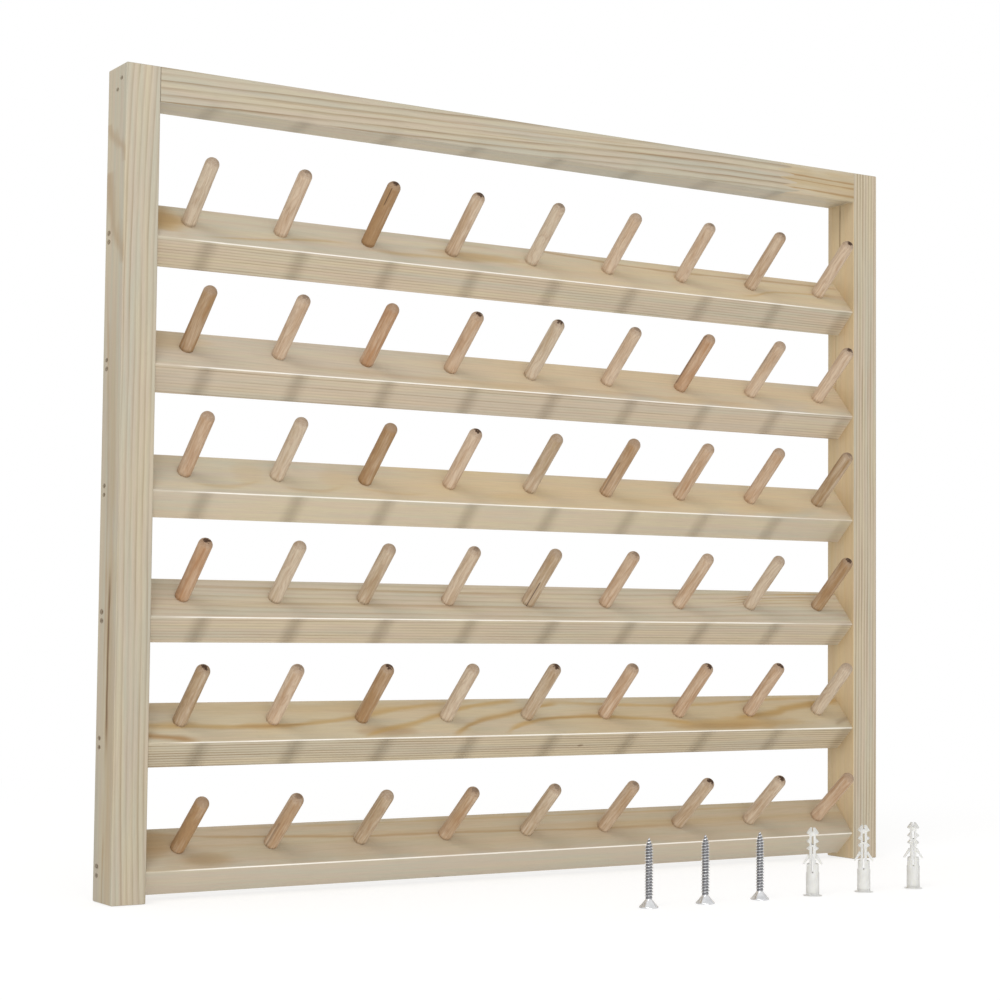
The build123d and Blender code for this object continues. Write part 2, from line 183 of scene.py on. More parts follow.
class Recipe:
    """One node tree under construction, with short calls that add and link its nodes."""

    def __init__(self, owner, output="OutputMaterial"):
        owner.use_nodes = True
        self.owner = owner
        self.tree = owner.node_tree
        self.tree.nodes.clear()
        self.output = self.node(output)

    def put(self, socket, value):
        """Links a socket to another one, or sets it to a number, a vector or a colour."""
        if isinstance(value, bpy.types.NodeSocket):
            self.tree.links.new(value, socket)
        elif socket.type == "RGBA":
            socket.default_value = (*value[:3], 1.0)
        else:
            socket.default_value = value

    def node(self, kind, values=None, **settings):
        """Adds a node with its settings, then links or sets the inputs named in values."""
        made = self.tree.nodes.new("ShaderNode" + kind)
        for key, setting in settings.items():
            setattr(made, key, setting)
        for key, value in (values or {}).items():
            self.put(made.inputs[key], value)
        return made

    def math(self, operation, *terms, clamp=False):
        """The result of one Math node."""
        return self.node("Math", dict(enumerate(terms)), operation=operation, use_clamp=clamp).outputs[0]

    def times(self, first, *factors, clamp=False):
        """Values multiplied with one another."""
        for factor in factors:
            first = self.math("MULTIPLY", first, factor, clamp=clamp)
        return first

    def plus(self, first, *terms, clamp=False):
        """Values added to one another."""
        for term in terms:
            first = self.math("ADD", first, term, clamp=clamp)
        return first

    def minus(self, first, second):
        """One value less another."""
        return self.math("SUBTRACT", first, second)

    def times_plus(self, first, factor, term):
        """One value times another, plus a third."""
        return self.math("MULTIPLY_ADD", first, factor, term)

    def vector(self, operation, *terms):
        """The outputs of one Vector Math node."""
        return self.node("VectorMath", dict(enumerate(terms)), operation=operation).outputs

    def scaled(self, colour, level):
        """A colour made brighter or darker."""
        return self.node("VectorMath", {0: colour, "Scale": level}, operation="SCALE").outputs[0]

    def blend(self, share, start, end):
        """A colour between two colours, which are a Mix node's inputs 6 and 7 and its output 2."""
        made = self.node("Mix", {0: share, 6: start, 7: end}, data_type="RGBA", blend_type="MIX")
        return made.outputs[2]

    def lerp(self, share, start, end):
        """A number between two numbers, which are a Mix node's inputs 2 and 3."""
        return self.node("Mix", {0: share, 2: start, 3: end}, data_type="FLOAT").outputs[0]

    def smooth(self, value, low, high, start=0.0, end=1.0):
        """A number eased from start to end while value goes from low to high."""
        steps = {"Value": value, "From Min": low, "From Max": high, "To Min": start, "To Max": end}
        return self.node("MapRange", steps, interpolation_type="SMOOTHSTEP").outputs[0]

    def stretch(self, vector, scale, shift=(0, 0, 0)):
        """A vector scaled by axis, then shifted."""
        return self.node("Mapping", {"Vector": vector, "Scale": scale, "Location": shift}).outputs[0]

    def noise(self, vector, scale, detail=2.0, roughness=0.5, shift=(0, 0, 0)):
        """A noise value about one half, of a vector that is scaled by axis and then shifted."""
        values = {"Vector": self.stretch(vector, scale, shift), "Scale": 1.0, "Detail": detail,
                  "Roughness": roughness}
        return self.node("TexNoise", values).outputs[0]

    def ramp(self, value, stops):
        """A grey value read from stops of place and level, eased between them."""
        made = self.node("ValToRGB", {"Fac": value})
        elements = made.color_ramp.elements
        made.color_ramp.interpolation = "EASE"
        while len(elements) < len(stops):
            elements.new(0.5)
        for element, (place, level) in zip(elements, stops):
            element.position = place
            element.color = (level, level, level, 1.0)
        return made.outputs[0]

    def bump(self, height, distance, strength):
        """The normal of a fine relief whose full height is a distance in metres."""
        return self.node("Bump", {"Height": height, "Distance": distance, "Strength": strength}).outputs[0]

    def shade(self, **values):
        """Ends the material in one Principled shader whose inputs are given by name."""
        named = {key.replace("_", " "): value for key, value in values.items()}
        return self.finish(self.node("BsdfPrincipled", named))

    def finish(self, shader):
        """Links the last shader to the output and returns the material or world."""
        self.put(self.output.inputs[0], shader.outputs[0])
        return self.owner


# Late wood as a share of one growth ring: a slow rise, a narrow dark line and a quick fall
RING_STOPS = ((0.0, 0.30), (0.10, 0.02), (0.45, 0.08), (0.74, 0.55), (0.86, 1.0), (0.94, 0.85), (1.0, 0.30))
# Farthest that a path's points lie along the grain and across it, in millimetres, and a straight path
LONGEST = 400.0
WIDEST = 25.0
FLAT = ((0, 0), (LONGEST, 0))
# How far the noises of one board lie from the last one's, and the place of a board's far pith
BOARD_SHIFT = (310.0, 47.0, 83.0)
BOARD_PITH = (0.0, 31.0, 22.0)
# A lift that keeps ring numbers positive, and the width of the rings on end grain
FIRST_RING = 60.0
END_SPACING = 2.6


class Board:
    """Where a board's grain lies: an origin and the directions along and across the wood."""

    def __init__(self, origin, along, across):
        self.origin = Vector(origin)
        along, across = Vector(along), Vector(across)
        self.turn = Matrix((along, across, along.cross(across))).transposed().to_euler()


def face_plan(spacing, centre=0.0, path=FLAT, wander=0.15, depth=1.0, gold=0.0, ring=1.0):
    """How the growth rings cross one face, in millimetres.

    The ring number of a point q across the face and s along the grain is (q - centre - path(s)) over
    spacing, plus wander times a slow noise. path is a smooth curve through the listed points of s and
    shift. depth is the strength of the late wood, gold how golden it is, and ring how much its
    strength changes from ring to ring.
    """
    return dict(spacing=spacing, centre=centre, path=path, wander=wander, depth=depth, gold=gold,
                ring=ring)


def stroke(wood, force, half, *path, face="broad", fade=0.25):
    """A band of another wood on the broad or edge faces, along listed points of s and q."""
    return dict(wood=wood, force=force, half=half, path=path, face=face, fade=fade)


def patch(wood, force, middle, reach, face="broad"):
    """A blotch of another wood on the broad or edge faces, about a point of s and q."""
    return dict(wood=wood, force=force, middle=middle, reach=reach, face=face)


def brad_hole_shade(node):
    """Painted shade about the sunk brads' holes in an upright's outer face: dark wide ovals along its depth.
    """
    head = bpy.context.scene.rack_fixings.brad_head
    side = node.split("_")[0]
    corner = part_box(node)[0]
    hole_shade = []
    for place in ("rail", *range(1, SHELF_COUNT + 1)):
        low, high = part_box(f"brads_{side}_{place}")
        for y, z in ((low.y + head, high.z - head), (high.y - head, low.z + head)):
            middle = ((z - corner.z) / MM, (y - corner.y) / MM)
            # Painted shade: a dark oval about each brad's hole
            hole_shade.append(patch("resin_and_hole_shade", 1.0, middle, (1.1, 1.8), face="edge"))
    return hole_shade


class PineRecipe(Recipe):
    """The material of one board, with the board's own coordinates and slow noises.

    The coordinates, in millimetres, are along, across and through the wood. Faces across the thickness
    are broad faces, faces across the width are edge faces, and end, edge and broad hold how much of
    each kind a face is.
    """

    def __init__(self, name, board, plans, seed):
        super().__init__(bpy.data.materials.new(name))
        self.plans, self.seed = plans, seed
        coordinates = self.node("TexCoord").outputs
        place = {"Vector": coordinates["Object"], "Location": board.origin, "Rotation": board.turn,
                 "Scale": (MM, MM, MM)}
        self.local = self.node("Mapping", place, vector_type="TEXTURE").outputs[0]
        way = {"Vector": coordinates["Normal"], "Rotation": board.turn}
        self.facing = self.node("Mapping", way, vector_type="TEXTURE").outputs[0]
        self.along, self.across, depth = self.node("SeparateXYZ", {0: self.local}).outputs
        self.through = self.math("ABSOLUTE", depth)
        turned = self.node("SeparateXYZ", {0: self.facing}).outputs
        self.end = self.smooth(self.math("ABSOLUTE", turned[0]), 0.6, 0.8)
        self.edge = self.smooth(self.math("ABSOLUTE", turned[1]), 0.62, 0.78)
        self.broad = self.minus(1.0, self.edge)

        shift = [seed * step for step in BOARD_SHIFT]
        self.shifted = self.stretch(self.local, (1, 1, 1), shift)
        slow = self.noise(self.shifted, (0.012, 0.05, 0.05), 1.5)
        wave = self.noise(self.shifted, (0.05, 0.16, 0.16), 1.0)
        self.drift = self.times_plus(slow, 4.0, self.times_plus(wave, 1.2, -2.6))
        breath = self.noise(self.shifted, (0.045, 0.2, 0.2), shift=(7, 7, 7))
        self.breath = self.smooth(breath, 0.25, 0.75, 0.55, 1.45)

    def by_face(self, key):
        """A value of the broad plan on broad faces and of the edge plan on edge faces."""
        broad, edge = self.plans
        return self.lerp(self.edge, broad[key], edge[key])

    def curve(self, points):
        """A smooth curve through points of distance along the grain and distance across it."""
        made = self.node("FloatCurve", {"Value": self.times(self.along, 1 / LONGEST)})
        curve = made.mapping.curves[0]
        places = [(s / LONGEST, 0.5 + 0.5 * q / WIDEST) for s, q in points]
        curve.points[0].location = places[0]
        curve.points[1].location = places[-1]
        for place in places[1:-1]:
            curve.points.new(*place)
        made.mapping.extend = "HORIZONTAL"
        made.mapping.update()
        return self.times_plus(made.outputs[0], 2 * WIDEST, -WIDEST)

    def ring_number(self, plan, across):
        """The ring number that face_plan describes."""
        offset = self.minus(self.minus(across, plan["centre"]), self.curve(plan["path"]))
        return self.times_plus(self.drift, plan["wander"], self.times(offset, 1.0 / plan["spacing"]))

    def late_wood(self):
        """Strength of the late wood: a line in each ring, uneven from ring to ring and along it.

        End grain shows rings about a far pith, with their numbers from the distance to it.
        """
        broad, edge = self.plans
        pith = self.vector("ADD", self.local, BOARD_PITH)[0]
        pith = self.vector("MULTIPLY", pith, (0.0, 1.0, 1.0))[0]
        pith = self.vector("LENGTH", pith)["Value"]
        end_rings = self.times_plus(self.drift, 0.3, self.times(pith, 1 / END_SPACING))
        rings = self.lerp(self.edge, self.ring_number(broad, self.across),
                          self.ring_number(edge, self.through))
        rings = self.plus(self.lerp(self.end, rings, end_rings), FIRST_RING)
        late = self.ramp(self.math("FRACT", rings), RING_STOPS)
        ring = self.plus(self.math("FLOOR", rings), self.seed * 9.7)
        luck = self.node("TexWhiteNoise", {"W": ring}, noise_dimensions="1D").outputs[0]
        strength = self.minus(1.0, self.times(luck, self.by_face("ring"), 0.7))
        swell = self.smooth(self.noise(self.shifted, (0.018, 0.3, 0.3), 1.0, shift=(2, 8, 5)),
                            0.28, 0.72, 0.55, 1.25)
        return self.times(late, strength, self.by_face("depth"), swell)

    def stroke_mask(self, item, across):
        """One soft band of figure along a path: 1 in its middle, 0 at its edges and past its ends."""
        points, half = item["path"], item["half"]
        centre = self.times_plus(self.drift, 0.25 * half, self.curve(points))
        off = self.math("ABSOLUTE", self.minus(across, centre))
        off = self.math("DIVIDE", off, self.times(self.breath, half))
        start, end = points[0][0], points[-1][0]
        fade = item["fade"] * (end - start)
        return self.times(self.smooth(off, 0.0, 1.1, 1.0, 0.0),
                          self.smooth(self.along, start, start + fade),
                          self.smooth(self.along, end - fade, end, 1.0, 0.0))

    def patch_mask(self, item, across):
        """One soft blotch: 1 at its middle, fading to 0 at a ragged edge about an ellipse."""
        (s, q), (long, wide) = item["middle"], item["reach"]
        part_s = self.times(self.minus(self.along, s), 1 / long)
        part_q = self.times(self.minus(across, q), 1 / wide)
        far = self.times_plus(part_s, part_s, self.times(part_q, part_q))
        return self.smooth(self.times(far, self.breath), 0.0, 1.25, 1.0, 0.0)

    def figured(self, colour, item, wood):
        """A colour with one band or blotch of another wood laid over it."""
        on_edge = item["face"] == "edge"
        across = self.through if on_edge else self.across
        mask = self.stroke_mask(item, across) if "path" in item else self.patch_mask(item, across)
        mask = self.times(mask, self.edge if on_edge else self.broad, item["force"])
        return self.blend(mask, colour, wood)

    def painted_arris_highlight(self, start, end):
        """Painted highlight on the corner between a shelf's two front faces, where it looks straight
        forward.
        """
        tilt = bpy.context.scene.rack_pine.shelf_tilt
        forward = (0.0, -math.cos(tilt), math.sin(tilt))
        corner = self.vector("DOT_PRODUCT", self.facing, forward)["Value"]
        highlight_noise = self.noise(self.shifted, (0.03, 0.01, 0.01), shift=(3, 3, 3))
        return self.times(self.smooth(corner, 0.90, 0.975),
                          self.smooth(self.along, start, start + 22, 0.10, 1.0),
                          self.smooth(self.along, end - 14, end + 14, 1.0, 0.30),
                          self.smooth(highlight_noise, 0.25, 0.5, 0.6, 1.0))


def pine(name, board, broad, edge, seed, warmth=0.5, rosy=0.5, figure=(), hole_shade=(), highlight_span=None,
         shades=(1.0, 1.0)):
    """Planed pine for one board.

    Each ring is a soft brown line over early wood that drifts between cream, grey and rose, with fine
    fibres along the grain. warmth sets how creamy the early wood is and rosy how pink. figure holds
    listed bands and blotches, rims the painted shade about the brads, rubbed the start and end of the
    painted highlight on the front corner, and shades the painted light and shade: the levels of
    brightness at the board's start and end.
    """
    look = bpy.context.scene.rack_pine
    recipe = PineRecipe(name, board, (broad, edge), seed)
    shifted = recipe.shifted
    late = recipe.late_wood()
    fibre = recipe.noise(shifted, (0.06, 2.2, 2.2), 3.0, 0.65)
    hair = recipe.noise(shifted, (0.20, 6.5, 6.5), 2.0, 0.6)
    cloud = recipe.noise(shifted, (0.010, 0.16, 0.16))
    blush = recipe.noise(shifted, (0.022, 0.42, 0.42), shift=(9, 1, 4))
    tint = recipe.plus(recipe.smooth(cloud, 0.32, 0.68, -0.5, 0.5), warmth, clamp=True)
    colour = recipe.blend(tint, look.grey, look.cream)
    pink = recipe.plus(recipe.smooth(blush, 0.36, 0.66, -0.5, 0.5), rosy, clamp=True)
    colour = recipe.blend(recipe.times(pink, 0.55), colour, look.rose)
    late_colour = recipe.blend(recipe.by_face("gold"), look.late, look.golden)
    colour = recipe.blend(recipe.times(late, 0.5, clamp=True), colour, late_colour)
    for item in (*figure, *hole_shade):
        colour = recipe.figured(colour, item, getattr(look, item["wood"]))

    # Fine fibres, short pitch ducts, darker end grain, and the board's shades, which are painted light and
    # shade
    level = recipe.plus(recipe.smooth(fibre, 0.25, 0.75, 0.95, 1.05),
                        recipe.smooth(hair, 0.2, 0.8, -0.025, 0.025))
    duct = recipe.noise(shifted, (0.22, 3.6, 3.6), 1.0, shift=(5, 9, 2))
    level = recipe.minus(level, recipe.smooth(duct, 0.73, 0.80, 0.0, 0.14))
    # Painted light and shade: shades make the board brighter or darker from its start to its end
    level = recipe.times(level, recipe.lerp(recipe.end, 1.0, 0.84),
                         recipe.smooth(recipe.along, 0.0, 380.0, *shades))
    colour = recipe.scaled(colour, level)
    # Painted highlight along the front corner of a shelf
    if highlight_span:
        colour = recipe.blend(recipe.painted_arris_highlight(*highlight_span), colour, look.arris)

    relief = recipe.times_plus(late, 0.5, recipe.times(fibre, 0.8))
    relief = recipe.times_plus(hair, 0.35, relief)
    rough = recipe.times_plus(late, -0.10, recipe.smooth(fibre, 0.2, 0.8, 0.52, 0.64))
    return recipe.shade(Base_Color=colour, Roughness=rough, Specular_IOR_Level=0.22,
                        Normal=recipe.bump(relief, 0.00012, 0.35))


def post_board(node):
    """Grain of an upright: along Z, across X from its left face, through Y from its front."""
    return Board(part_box(node)[0], (0, 0, 1), (1, 0, 0))


def rail_board(node):
    """Grain of a rail piece: along X from the long piece's left end, across Z, through from its front."""
    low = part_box(node)[0]
    return Board((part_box("top_rail_left")[0].x, low.y, low.z), (1, 0, 0), (0, 0, 1))


def shelf_board(row):
    """Grain of a shelf: along X, across up its wide face, through out of that face."""
    look = bpy.context.scene.rack_pine
    rise = Vector((0, math.cos(look.shelf_tilt), math.sin(look.shelf_tilt)))
    corner = peg_foot(row, 1) - rise * look.peg_setback
    return Board((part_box(f"shelf_{row}")[0].x, corner.y, corner.z), (1, 0, 0), rise)


def peg_foot(row, place):
    """Where a peg's axis meets the face of its shelf."""
    peg = mount(f"peg_{row}_{place}")
    rise = PEG_WALL / 2 + bpy.context.scene.rack_pegs.shoulder
    return Vector(peg["pos_m"]) - Vector(peg["axis"]) * rise


def dress(node, material):
    """Gives a CAD node its finish."""
    slots = frame["nodes"][node].material_slots
    if slots:
        slots[0].material = material
    else:
        frame["nodes"][node].data.materials.append(material)


# Plans and listed figure of the uprights and the rail
POST_PLANS = {
    "left_upright": dict(
        broad=face_plan(2.7, centre=0.9,
                        path=((0, 1.5), (40, 0.3), (120, 0), (270, 0), (320, 0.8), (364, 3.0)),
                        depth=1.15, ring=0.6),
        edge=face_plan(4.6, centre=3.0, wander=0.5, depth=0.35), warmth=0.45, rosy=0.35,
        shades=(0.91, 1.02),
        figure=(
            stroke("brown", 0.36, 8.5, (320, -3), (325, 0.5), (329, 7), (333, 13.5), (340, 22), fade=0.05,
                   face="edge"),
            stroke("brown", 0.40, 11.0, (275, -4), (281, 1), (288, 8.5), (299, 15), (319, 20.5), fade=0.05,
                   face="edge"),
            stroke("brown", 0.34, 1.8, (60, 13), (150, 12.6), (210, 13.4), (260, 17), (290, 21),
                   face="edge"),
            stroke("golden", 0.36, 6.5, (-40, 5), (60, 5), (150, 7), (230, 9), (290, 13), face="edge"),
            stroke("brown", 0.55, 2.3, (55, 8.2), (90, 8.6), (120, 8.2), (150, 7.8), face="edge"),
            stroke("resin_and_hole_shade", 0.80, 1.3, (62, 8.4), (95, 8.6), (125, 8.2), (148, 7.9), face="edge"),
            stroke("brown", 0.40, 1.2, (-10, 10.4), (12, 10.4), (32, 9.6), face="edge"),
        )),
    "right_upright": dict(
        broad=face_plan(1.95, centre=0.4, path=((0, -1.2), (90, -0.5), (200, 0), (364, 0.5)), depth=2.0,
                        ring=0.8),
        edge=face_plan(5.2, centre=2.0, wander=0.3, depth=0.55, gold=0.7), warmth=0.6, rosy=0.5,
        shades=(1.0, 1.04),
        figure=(
            stroke("honey", 0.50, 90.0, (-90, 10), (460, 10), face="edge"),
            stroke("resin_and_hole_shade", 0.62, 0.7, (318, 11.0), (333, 11.2), (352, 11.0), face="edge"),
            stroke("brown", 0.30, 0.8, (225, 14.4), (260, 14.6), (290, 14.2), face="edge"),
            stroke("brown", 0.35, 0.5, (180, 11.5), (230, 11.3), (290, 11.6)),
        )),
    "top_rail_left": dict(
        broad=face_plan(3.1, centre=0.5, path=((0, 0), (200, 6.5), (300, 10.5), (348, 11)), depth=1.8,
                        ring=0.9),
        edge=face_plan(6.0, centre=3.0, wander=0.4, depth=0.35), warmth=0.3, rosy=0.35,
        figure=(
            stroke("brown", 0.30, 0.5, (20, 6.3), (110, 9.2), (200, 11.6), (300, 14)),
            stroke("brown", 0.30, 0.5, (130, 5.9), (220, 8.2), (300, 10.4), (340, 10.6)),
        )),
    "top_rail_right": dict(
        broad=face_plan(3.4, centre=0.5, path=((340, 0), (400, -0.4)), depth=0.4, gold=0.8, ring=0.5),
        edge=face_plan(5.0, centre=3.0, depth=0.5, gold=0.6), warmth=1.0, rosy=0.2,
        figure=(
            stroke("golden", 0.42, 12.0, (300, 8), (345, 8), (460, 8)),
            stroke("brown", 0.72, 0.75, (343, 10.6), (352, 10.5), (370, 10.0), (420, 9.2), fade=0.12),
            stroke("brown", 0.66, 0.7, (346, 7.9), (356, 7.9), (372, 7.5), (420, 6.8), fade=0.12),
            stroke("brown", 0.72, 0.8, (350, 3.2), (360, 3.3), (374, 3.1), (420, 2.2), fade=0.12),
        )),
}

# Courses of two curved bands of the fifth shelf, each drawn in two woods
SWEEP = ((152, 0.4), (158, 3.4), (164, 6.4), (176, 10.4), (190, 13.6), (206, 17.6), (222, 20))
FLARE = ((322, 8.4), (337, 9.6), (350, 11), (362, 14), (384, 17.4), (404, 20))
# Plans and listed figure of the six shelves, from the top one down
# The shelves' shades also paint them brighter than the uprights, as painted light
SHELF_PLANS = (
    dict(
        broad=face_plan(7.0, centre=2.0, wander=0.5, depth=0.30, gold=0.6),
        edge=face_plan(1.62, centre=0.4, path=((0, 0), (400, 0.9)), depth=1.3, ring=0.5),
        warmth=0.55, rosy=0.5, highlight_span=(8, 372), shades=(1.1, 1.1), figure=(
            # Golden wood at the left end, by the upright, darkened in part as painted shade of that corner
            patch("golden", 0.75, (4, 13), (17, 10)),
            patch("brown", 0.30, (4, 14), (11, 8)),
            stroke("honey", 0.28, 26.0, (150, 12), (460, 12)),
            stroke("golden", 0.50, 1.5, (16, 3.0), (50, 5.6), (78, 9.6), (107, 10.4)),
            stroke("golden", 0.50, 1.8, (104, 9.0), (119, 6.8), (142, 7.2), (176, 7.4)),
            patch("golden", 0.60, (169, 11.4), (27, 4.2)),
            stroke("golden", 0.25, 1.6, (130, 22), (160, 20), (185, 19.4)),
            stroke("brown", 0.55, 1.15, (200, 23), (216, 21.4), (236, 20), (264, 17.9), (305, 17.8),
                   (345, 18.6), (374, 19), (402, 18.4), fade=0.06),
            stroke("golden", 0.55, 1.3, (318, 3), (335, 5.4), (348, 9.6), (374, 11.3), (400, 11.6)),
        )),
    dict(
        broad=face_plan(2.1, centre=0.6, path=((0, 6), (130, 0), (270, -4), (400, -5)), depth=0.42,
                        ring=1.0),
        edge=face_plan(1.75, centre=0.2, path=((0, 0), (200, 0.8), (400, 0.6)), depth=1.5),
        warmth=0.35, rosy=0.8, highlight_span=(8, 372), shades=(1.1, 1.1), figure=(
            stroke("brown", 0.26, 2.6, (60, 7.5), (110, 4.6), (165, 4.0), (235, 3.2)),
            stroke("brown", 0.22, 2.4, (196, 6.5), (240, 4.2), (300, 3.0), (350, 2.8)),
            patch("golden", 0.30, (10, 17), (24, 8)),
            stroke("honey", 0.32, 26.0, (110, 12), (460, 12)),
        )),
    dict(
        broad=face_plan(8.0, centre=2.0, wander=0.6, depth=0.12, gold=0.4),
        edge=face_plan(3.0, centre=0.2, depth=0.12), warmth=0.65, rosy=0.4, highlight_span=(10, 352),
        shades=(1.08, 1.08), figure=(
            stroke("golden", 0.34, 1.6, (18, 8.0), (32, 4.4), (46, 6.4), (56, 11)),
            patch("golden", 0.20, (50, 13), (9, 9)),
            stroke("golden", 0.34, 1.6, (62, 7), (80, 4.4), (92, 6.4), (98, 11)),
            patch("golden", 0.20, (94, 13), (9, 9)),
            stroke("golden", 0.30, 1.4, (98, 10), (118, 5.6), (130, 5.0), (142, 8)),
            patch("golden", 0.30, (190, 6), (22, 3.5)),
            patch("golden", 0.24, (268, 7.0), (22, 3.5)),
            patch("golden", 0.24, (350, 6.0), (24, 3.5)),
            stroke("honey", 0.38, 26.0, (60, 12), (460, 12)),
        )),
    dict(
        broad=face_plan(3.0, centre=1.2, path=((0, 1), (80, 0), (260, -0.5), (330, 1.6), (400, 2.8)),
                        depth=0.85, gold=0.35, ring=0.7),
        edge=face_plan(1.85, centre=0.2, path=((0, 0), (400, 0.8)), depth=1.4), warmth=0.6, rosy=0.55,
        highlight_span=(2, 352), shades=(1.06, 1.08), figure=(
            stroke("brown", 0.30, 1.5, (-20, 19), (60, 17.8), (140, 17.4), (230, 16.4)),
            stroke("brown", 0.28, 1.3, (10, 7.6), (70, 8.4), (150, 8.6), (260, 8.8)),
            stroke("golden", 0.70, 0.6, (318, 16.2), (340, 19), (362, 20.4), (400, 21.2)),
            stroke("brown", 0.60, 0.5, (314, 14.4), (338, 17.0), (362, 18.4), (392, 19)),
            stroke("golden", 0.60, 0.5, (312, 12.8), (336, 15.2), (362, 16.4), (400, 16)),
            stroke("brown", 0.45, 0.5, (310, 11), (336, 13.2), (364, 14.2), (398, 13.4)),
        )),
    dict(
        broad=face_plan(9.0, centre=2.0, wander=0.5, depth=0.12, gold=0.8),
        edge=face_plan(1.72, centre=0.1, path=((0, -1.4), (200, 0), (400, 1.8)), depth=2.7, ring=0.6),
        warmth=0.8, rosy=0.1, highlight_span=(4, 398), shades=(1.08, 1.06), figure=(
            stroke("golden", 0.22, 26.0, (-60, 12), (460, 12)),
            stroke("golden", 0.20, 26.0, (190, 12), (480, 12)),
            stroke("golden", 0.30, 5.1, (-60, 20), (60, 19.5), (130, 19), (190, 19)),
            stroke("golden", 0.74, 2.5, (-40, 12.5), (16, 9.8), (50, 8.8), (78, 9.5), (104, 12.4),
                   (126, 16.6), (158, 20.5), (190, 23)),
            stroke("brown", 0.45, 1.3, (40, 8.9), (64, 9.0), (86, 10.0)),
            stroke("brown", 0.80, 2.8, (-22, 6.5), (0, 4.6), (12, 3.4), (27, 0.4), fade=0.2),
            patch("brown", 0.50, (121, 4.6), (19, 3.4)),
            stroke("golden", 0.80, 2.2, (104, 0.6), (116, 4.2), (132, 8.0), (150, 13), (166, 17.6),
                   (184, 20.6), (200, 22), fade=0.1),
            stroke("brown", 0.65, 1.4, *SWEEP, fade=0.15),
            stroke("golden", 0.55, 2.5, *SWEEP, fade=0.1),
            stroke("golden", 0.80, 2.0, (181, 0.4), (190, 5.0), (200, 8.4), (218, 10.8), (242, 10.9),
                   (262, 9.2), (282, 7.4), (300, 4.0), fade=0.08),
            stroke("brown", 0.45, 1.3, (196, 8.6), (214, 10.6), (240, 10.9), (256, 9.8)),
            stroke("golden", 0.66, 1.7, (192, 17), (214, 20.2), (242, 19.4), (268, 17.6), (302, 17.4),
                   (336, 19.4), (374, 20.8), (402, 21)),
            patch("golden", 0.75, (318, 4.6), (44, 4.2)),
            patch("brown", 0.35, (318, 3.4), (34, 2.6)),
            stroke("brown", 0.62, 2.2, *FLARE, fade=0.15),
            stroke("golden", 0.75, 3.2, *FLARE, fade=0.1),
            stroke("late", 0.50, 2.9, (386, 2.4), (394, 5.4), (404, 9)),
            patch("resin_and_hole_shade", 0.55, (229, 8.7), (2.2, 1.1), face="edge"),
        )),
    dict(
        broad=face_plan(4.2, centre=1.0, path=((0, 0), (120, -1.4), (400, -3.0)), wander=0.25, depth=0.40,
                        gold=0.6, ring=1.0),
        edge=face_plan(3.0, centre=0.2, depth=0.10), warmth=0.15, rosy=0.75, highlight_span=(8, 398),
        shades=(0.98, 1.0), figure=(
            stroke("brown", 0.55, 1.2, (-30, 22), (8, 19.8), (36, 17.4), (72, 15.6), (104, 13.8),
                   (150, 13.3), (200, 12.2), (250, 11.4), (330, 10.8)),
            stroke("golden", 0.40, 1.0, (10, 22), (80, 21.2), (200, 20.6), (330, 20), (400, 19)),
            patch("brown", 0.45, (30, 5.4), (15, 3.8)),
            patch("brown", 0.55, (4, 15), (16, 9)),
            stroke("golden", 0.30, 26.0, (-160, 12), (500, 12)),
            stroke("golden", 0.26, 3.4, (190, 14), (250, 13.6), (330, 12.6), (440, 12)),
            patch("resin_and_hole_shade", 0.6, (152, 16.4), (1.6, 0.9), face="edge"),
        )),
)


class RACK_OT_boards(bpy.types.Operator):
    """Finish the uprights, the rail and the shelves in planed pine"""

    bl_idname = "rack.boards"
    bl_label = "Boards"

    def execute(self, context):
        for seed, (node, plan) in enumerate(POST_PLANS.items(), 1):
            if node.endswith("upright"):
                material = pine(f"pine_{node}", post_board(node), seed=seed, hole_shade=brad_hole_shade(node), **plan)
            else:
                material = pine(f"pine_{node}", rail_board(node), seed=seed, **plan)
            dress(node, material)
        for row, plan in enumerate(SHELF_PLANS, 1):
            seed = len(POST_PLANS) + row
            dress(f"shelf_{row}", pine(f"pine_shelf_{row}", shelf_board(row), seed=seed, **plan))
        return {"FINISHED"}


def ring_faces(rings, segments):
    """Corner numbers of the quads between rings of points that close on themselves."""
    row, column = np.meshgrid(np.arange(rings - 1), np.arange(segments), indexing="ij")
    after = (column + 1) % segments
    corners = (row * segments + column, row * segments + after,
               (row + 1) * segments + after, (row + 1) * segments + column)
    return np.stack([c.ravel() for c in corners], axis=1)


def closed_surface(rings):
    """Points and faces of a tube given as rings of points, closed by a fan at each end.

    rings has the shape (rings, segments, 3), with the rings in order along the axis and the points of
    each counterclockwise about it, so that the faces look outwards.
    """
    count, segments, _ = rings.shape
    points = np.concatenate([rings.reshape(-1, 3), rings[0].mean(0)[None], rings[-1].mean(0)[None]])
    quads = ring_faces(count, segments)
    around = np.arange(segments)
    after = (around + 1) % segments
    first, last = count * segments, count * segments + 1
    top = (count - 1) * segments
    fans = np.concatenate([
        np.stack([after, around, np.full(segments, first)], axis=1),
        np.stack([top + around, top + after, np.full(segments, last)], axis=1)])
    return points, quads, fans


